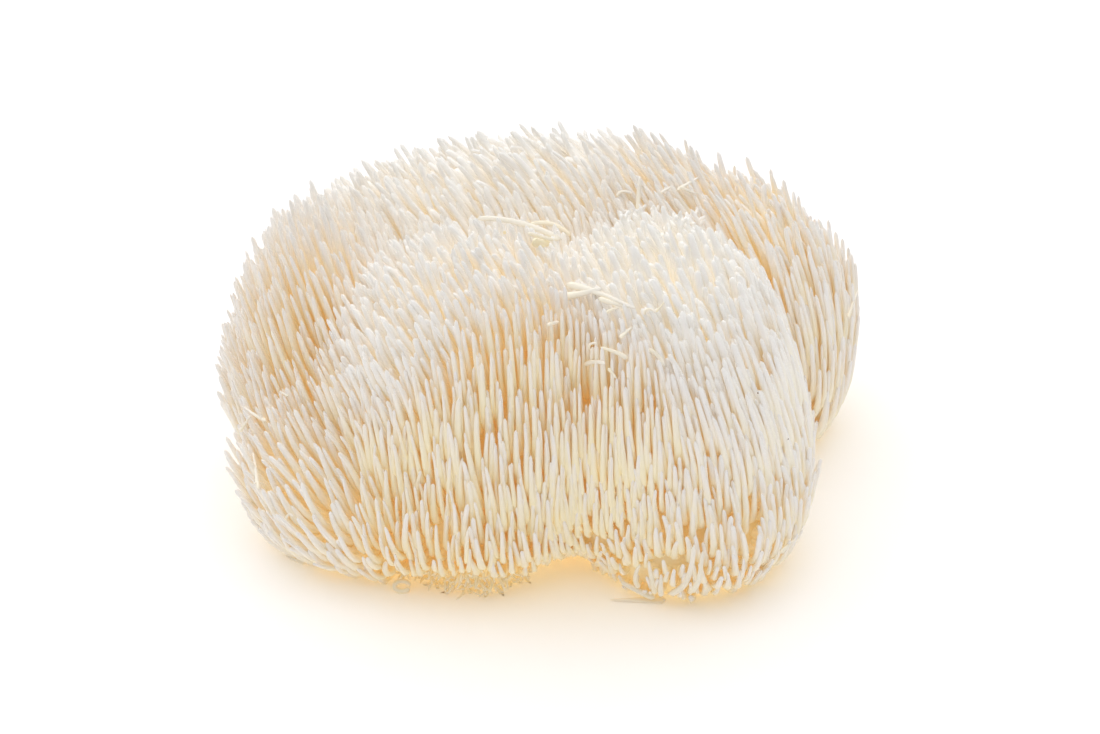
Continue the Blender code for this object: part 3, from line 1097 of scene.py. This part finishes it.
# %% Loose spines
# Each loose spine: its pixels, the widths at start and end in pixels, then flatness and warmth
LOOSE_SPINES = {
    "double_blade_upper": (((566, 285), (585, 286), (612, 298), (636, 309)), 8.0, 2.0, 0.55, 0.1),
    "double_blade_lower": (((565, 296), (578, 296), (592, 290), (602, 289)), 7.5, 4.0, 0.55, 0.3),
    "blade_under": (((598, 298), (612, 303), (626, 307), (636, 308)), 5.0, 2.0, 0.6, 0.2),
    "short_left": (((548, 325), (553, 323), (559, 322)), 3.5, 3.0, 0.8, 0.3),
    "flat_middle": (((584, 365), (591, 361), (599, 361), (605, 364)), 4.5, 3.5, 0.6, 0.2),
    "hook_middle": (((590, 350), (586, 344), (594, 341), (598, 345)), 2.5, 2.5, 0.9, 0.7),
    "carrot_middle": (((600, 347), (610, 350), (620, 353), (628, 359)), 2.0, 5.5, 0.8, 0.4),
    "leaning_right": (((648, 349), (656, 352), (661, 358), (664, 367)), 3.5, 4.5, 0.8, 0.3),
    "upright_right": (((620, 338), (625, 333), (632, 327)), 4.5, 2.0, 0.8, 0.7),
    "bent_right": (((606, 313), (611, 309), (619, 308)), 3.0, 2.0, 0.8, 0.9),
    "curl_right": (((645, 315), (644, 308), (652, 307), (655, 313)), 2.5, 2.0, 0.9, 1.0),
    "thin_right": (((656, 312), (660, 307), (665, 301)), 2.5, 1.5, 0.9, 0.8),
    "cross_long": (((677, 190), (688, 184), (699, 177)), 4.0, 2.0, 0.8, -0.4),
    "cross_short": (((680, 187), (688, 191), (697, 194)), 4.0, 2.0, 0.8, -0.4),
    "cross_left": (((661, 193), (665, 190), (671, 187)), 3.0, 2.5, 0.8, -0.4),
    "wall_hook": (((617, 197), (618, 190), (627, 190), (632, 194)), 3.0, 3.0, 0.9, -0.2),
    "wall_upright": (((638, 211), (638, 195), (640, 176)), 5.0, 3.5, 0.9, -0.4),
    "foot_hook_first": (((640, 587), (632, 582), (636, 571), (640, 564)), 6.0, 3.0, 0.9, 0.5),
    "foot_hook_second": (((655, 594), (654, 582), (649, 572), (649, 561)), 7.0, 3.0, 0.9, 0.4),
    "foot_hook_third": (((662, 596), (659, 589), (662, 582), (661, 574)), 6.5, 3.0, 0.9, 0.4),
    "foot_hook_wide": (((668, 594), (690, 590), (692, 568), (694, 545)), 7.0, 4.5, 0.9, 0.3),
    "foot_hook_right": (((690, 592), (702, 586), (700, 566), (703, 551)), 6.0, 3.5, 0.9, 0.3),
    "on_table_long": (((666, 600), (648, 600), (630, 601), (610, 600)), 14.0, 3.0, 0.25, 0.2),
    "on_table_short": (((655, 598), (642, 593), (631, 587), (621, 582)), 7.0, 4.0, 0.6, 0.3),
    "on_table_stub": (((655, 595), (661, 597), (665, 602)), 2.5, 4.5, 0.8, 0.1),
    "side_tip": (((780, 553), (788, 546), (796, 539)), 4.5, 1.5, 0.8, 0.2),
    "small_slanted": (((608, 368), (612, 373), (616, 378)), 3.0, 2.5, 0.8, 0.6),
    "flank_cross_long": (((266, 421), (255, 416), (243, 406)), 4.5, 1.5, 0.8, 0.2),
    "flank_cross_short": (((240, 432), (245, 424), (251, 415)), 3.5, 1.5, 0.8, 0.3),
    "flank_tip_upper": (((279, 392), (277, 385), (274, 377)), 3.5, 1.5, 0.8, 0.1),
    "flank_tip_side": (((288, 396), (284, 394), (280, 391)), 3.0, 1.5, 0.8, 0.1),
    "flank_upright": (((258, 490), (256, 470), (253, 452)), 4.5, 2.0, 0.8, 0.2),
    "flank_bow": (((266, 486), (260, 481), (253, 484)), 3.0, 1.5, 0.8, 0.2),
    "flank_curl": (((286, 520), (287, 514), (291, 512), (293, 517)), 3.0, 2.0, 0.9, 0.4),
    "foot_pointing_left": (((305, 563), (295, 561), (286, 556)), 5.0, 1.5, 0.8, 0.3),
    "far_right_tip": (((848, 318), (852, 306), (858, 290)), 4.0, 1.5, 0.8, 0.4),
}
# Lies with its broad side up, so that the camera sees about half of its width
LYING_FLAT = ("on_table_long",)
LOOSE_RINGS = 14
LOOSE_ALONG = np.linspace(0.55, 0.85, LOOSE_RINGS)
LOOSE_SEED = 5


def grow_loose_spines():
    """All loose spines as one piece."""
    chance = random.Random(LOOSE_SEED)
    tubes = TubeSet()
    for name, (pixels, start, end, flatness, warmth) in LOOSE_SPINES.items():
        widths = round_ends(LOOSE_RINGS, start * PIXEL_SIZE, end * PIXEL_SIZE)
        path = lay_on_coat(pixels, LOOSE_RINGS, max(start, end) * PIXEL_SIZE * flatness / 2)
        faces_up = name in LYING_FLAT
        tubes.add(path, widths, flatness, LOOSE_ALONG, chance.random(), warmth, faces_up)
    return tubes.piece("loose_spines", loose_flesh)


loose_spines = grow_loose_spines()
print(loose_spines.name, triangle_count(loose_spines), "triangles")

# %% [markdown]
# ## Crumbly tips on the crest
#
# Along two stretches of the right front crest the spines have been rubbed short, and their white
# stubs point every way. Each stub stands on the coat where the camera sees the crest, and reaches
# a little into it, so that none floats.

# %% Rubbed tips
# Both stretches as first and last pixel of their middle line
RUBBED_STRETCHES = (((618, 218), (659, 212)), ((674, 222), (701, 226)))
STUBS_ON_EACH = 26
STUB_RINGS = 7
STUB_LENGTH = 0.0024
STUB_LENGTH_SHARES = (0.6, 1.2)
STUB_WIDTHS = (0.0011, 0.00066)
STUB_FLATNESS = 0.8
STUB_DEPTH = 0.0007
# How far from the middle line a stub may stand, in pixels, and how far it may lean
STUB_SPREAD = 5.0
STUB_TILT = 0.8
STUB_WARMTH = -0.45
STUB_ALONG = np.linspace(0.5, 1.0, STUB_RINGS)
STUB_SEED = 13


def grow_crest_tips():
    """The rubbed stubs of both stretches as one piece."""
    chance = random.Random(STUB_SEED)
    tubes = TubeSet()
    for first, last in RUBBED_STRETCHES:
        for _ in range(STUBS_ON_EACH):
            middle = Vector(first).lerp(Vector(last), chance.random())
            pixel = (middle.x, middle.y + chance.uniform(-STUB_SPREAD, STUB_SPREAD))
            foot = camera.location + ray_through(pixel) * (depth_at(pixel) + STUB_DEPTH)
            tilt = [chance.uniform(-STUB_TILT, STUB_TILT) for _ in range(2)]
            up = Vector((*tilt, 1.0)).normalized()
            tip = foot + up * STUB_LENGTH * chance.uniform(*STUB_LENGTH_SHARES)
            widths = round_ends(STUB_RINGS, *STUB_WIDTHS)
            path = smooth_path((foot, tip), STUB_RINGS)
            tubes.add(path, widths, STUB_FLATNESS, STUB_ALONG, chance.random(), STUB_WARMTH)
    return tubes.piece("crest_tips", spine_flesh)


crest_tips = grow_crest_tips()
print(crest_tips.name, triangle_count(crest_tips), "triangles")

# %% [markdown]
# ## A smooth band in the notch
#
# Between the two front lobes a few spines have grown together into a smooth flat band with a
# fold and a yellow hollow under it. It is drawn with the same tubes, wide and flat.

# %% Band of joined flesh
# Each part: its pixels, the widths at start and end in pixels, then flatness and warmth
BANDS = {
    "hollow": (((533, 241), (541, 246), (549, 241)), 9.0, 8.0, 0.5, 2.2),
    "long_band": (((476, 219), (505, 216), (535, 226), (562, 240)), 5.0, 6.0, 0.45, 0.0),
    "upper_fold": (((528, 226), (545, 218), (562, 226), (571, 236)), 5.0, 4.0, 0.6, 0.3),
    "lower_fold": (((527, 233), (540, 236), (548, 241), (560, 239)), 3.5, 3.5, 0.6, 0.5),
    "spot": (((504, 231), (505, 234)), 3.0, 3.0, 0.6, 2.4),
}
BAND_ALONG = np.full(LOOSE_RINGS, 0.65)
BAND_SEED = 8


def grow_band():
    """The joined band as one piece."""
    chance = random.Random(BAND_SEED)
    tubes = TubeSet()
    for pixels, start, end, flatness, warmth in BANDS.values():
        widths = round_ends(LOOSE_RINGS, start * PIXEL_SIZE, end * PIXEL_SIZE)
        path = lay_on_coat(pixels, LOOSE_RINGS, start * PIXEL_SIZE * flatness / 2)
        tubes.add(path, widths, flatness, BAND_ALONG, chance.random(), warmth)
    return tubes.piece("joined_band", loose_flesh)


joined_band = grow_band()
print(joined_band.name, triangle_count(joined_band), "triangles")

# %% [markdown]
# ## The frilly rim
#
# Under the front rim the mushroom was cut from its log, and the torn flesh there is amber and
# frilly. Short curled threads stand on the bare place of the flesh, each with its own curl. A
# noise on the surface would make it rough, but no thread would stand clear of it.

# %% Frills under the front rim
FRILL_COUNT = 170
FRILL_RINGS = 7
FRILL_LENGTH = 0.0042
FRILL_LENGTH_SHARES = (0.6, 1.2)
FRILL_WIDTH = 0.0008
FRILL_WIDTH_SHARES = (0.7, 1.4)
FRILL_TIP_WIDTH = 0.0004
FRILL_FLATNESS = 0.7
FRILL_WANDER = 0.7
# How far a frill turns over its length, in radians, and the shares of that which frills have
FRILL_CURL = 2.6
FRILL_CURL_SHARES = (0.3, 1.0)
FRILL_WARMTH = 1.5
FRILL_ALONG = np.linspace(0.3, 0.8, FRILL_RINGS)
FRILL_SEED = 21


def frill_path(root, outward, chance):
    """A short thread that leaves the flesh and curls over."""
    direction = outward + Vector([chance.uniform(-FRILL_WANDER, FRILL_WANDER) for _ in range(3)])
    axis = Vector([chance.uniform(-1.0, 1.0) for _ in range(3)]).normalized()
    turn = Matrix.Rotation(FRILL_CURL / FRILL_RINGS * chance.uniform(*FRILL_CURL_SHARES), 3, axis)
    step = FRILL_LENGTH / FRILL_RINGS * chance.uniform(*FRILL_LENGTH_SHARES)
    place = root.copy()
    path = []
    for _ in range(FRILL_RINGS):
        path.append(np.array(place))
        direction = (turn @ direction).normalized()
        place += direction * step
    return np.array(path)


def bare_faces():
    """Faces of the flesh that lie bare under the front rim, above the table."""
    faces = list(flesh.data.polygons)
    inside = within(FRONT_RIM, np.array([face.center for face in faces]))
    return [face for face, bare in zip(faces, inside) if bare and face.center.z > BARE_BELOW / 2]


def add_frills(tubes):
    """Curled threads on the bare faces."""
    chance = random.Random(FRILL_SEED)
    places = bare_faces()
    for _ in range(FRILL_COUNT):
        face = chance.choice(places)
        width = FRILL_WIDTH * chance.uniform(*FRILL_WIDTH_SHARES)
        widths = round_ends(FRILL_RINGS, width, FRILL_TIP_WIDTH)
        path = frill_path(face.center, face.normal, chance)
        tubes.add(path, widths, FRILL_FLATNESS, FRILL_ALONG, chance.random(), FRILL_WARMTH)


frills = TubeSet()
add_frills(frills)
print(FRILL_COUNT, "frills on", len(bare_faces()), "bare faces of the flesh")

# %% [markdown]
# ## A rolled thread
#
# One long thread has rolled up into a ring and stands on the table in front of the rim. It is a
# tube along an ellipse of pixels, far enough from the camera for its lowest point to touch.

# %% One thread rolled into a ring
# Its middle, half size and widths in pixels
RING_MIDDLE = (402, 586)
RING_HALF_SIZE = (7.5, 5.0)
RING_WIDTHS = (5.5, 4.4)
RING_RINGS = 22
RING_TURNS = np.linspace(0.2, 2.0 * np.pi, RING_RINGS)
RING_ALONG = np.full(RING_RINGS, 0.6)
RING_FLATNESS = 0.9
RING_SHADE = 0.5
RING_WARMTH = 0.9


def ring_pixel(turn):
    """The pixel at one turn of the ring."""
    across = RING_MIDDLE[0] + RING_HALF_SIZE[0] * np.cos(turn)
    return across, RING_MIDDLE[1] + RING_HALF_SIZE[1] * np.sin(turn)


def add_ring(tubes):
    """The rolled thread, which stands on the table by the lowest point of its ring."""
    start, end = np.array(RING_WIDTHS) * PIXEL_SIZE
    lowest = ray_through((RING_MIDDLE[0], RING_MIDDLE[1] + RING_HALF_SIZE[1]))
    depth = (start / 2 - camera.location.z) / lowest.z
    path = np.array([camera.location + ray_through(ring_pixel(turn)) * depth for turn in RING_TURNS])
    widths = round_ends(RING_RINGS, start, end)
    tubes.add(path, widths, RING_FLATNESS, RING_ALONG, RING_SHADE, RING_WARMTH)


add_ring(frills)
rim_frills = frills.piece("rim_frills", spine_flesh)
print(rim_frills.name, triangle_count(rim_frills), "triangles")

# %% [markdown]
# ## Specks of dirt
#
# The photograph shows three dark grains, each about a pixel wide: one on the right lobe, a fainter
# one above it and one on the joined band. Each is a tiny uneven ball, placed by its pixel.

# %% Specks
SPECKS = ((788, 439), (758, 393), (552, 232))
SPECK_SIZE = 0.00016
SPECK_SIDES = (0.6, 1.3)
SPECK_DENTS = 0.12
SPECK_COLOURS = ((0.3, (0.10, 0.045, 0.02, 1.0)), (0.8, (0.22, 0.11, 0.05, 1.0)))
SPECK_ROUGHNESS = (0.7, 0.95)
SPECK_CLOUD = (900.0, 2.0)
SPECK_BUMP = (0.4, 0.0002)
SPECK_SEED = 2


def speck_material():
    """Dark, dull grains."""
    material, shader, wiring, place = start_finish("bark_dust")
    cloud = wiring.cloud(place, *SPECK_CLOUD)
    wiring.feed(shader, {
        "Base Color": colour_ramp(wiring, cloud, SPECK_COLOURS),
        "Roughness": wiring.blend(cloud, *SPECK_ROUGHNESS),
        "Normal": wiring.bump(cloud, *SPECK_BUMP),
    })
    return material


def scatter_specks():
    """All specks as one piece."""
    chance = random.Random(SPECK_SEED)
    dust = bmesh.new()
    for pixel in SPECKS:
        place = camera.location + ray_through(pixel) * depth_at(pixel)
        sizes = Matrix.Diagonal([SPECK_SIZE * chance.uniform(*SPECK_SIDES) for _ in range(3)])
        matrix = Matrix.Translation(place) @ sizes.to_4x4()
        grain = bmesh.ops.create_icosphere(dust, subdivisions=2, radius=1.0, matrix=matrix)
        for vertex in grain["verts"]:
            dents = [chance.uniform(-SPECK_DENTS, SPECK_DENTS) for _ in range(3)]
            vertex.co += Vector(dents) * SPECK_SIZE
    mesh = bpy.data.meshes.new("specks")
    dust.to_mesh(mesh)
    dust.free()
    mesh.materials.append(speck_material())
    return put_in_scene("specks", mesh)


specks = scatter_specks()
print(specks.name, triangle_count(specks), "triangles")

# %% [markdown]
# ## Hand over
#
# Every piece rides on the one body, in place of the one packed solid, which is hidden.

# %% Fasten the pieces to the frame
for piece in [flesh, *coat, loose_spines, crest_tips, joined_band, rim_frills, specks]:
    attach(piece, "root")
    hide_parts("fruiting_body")
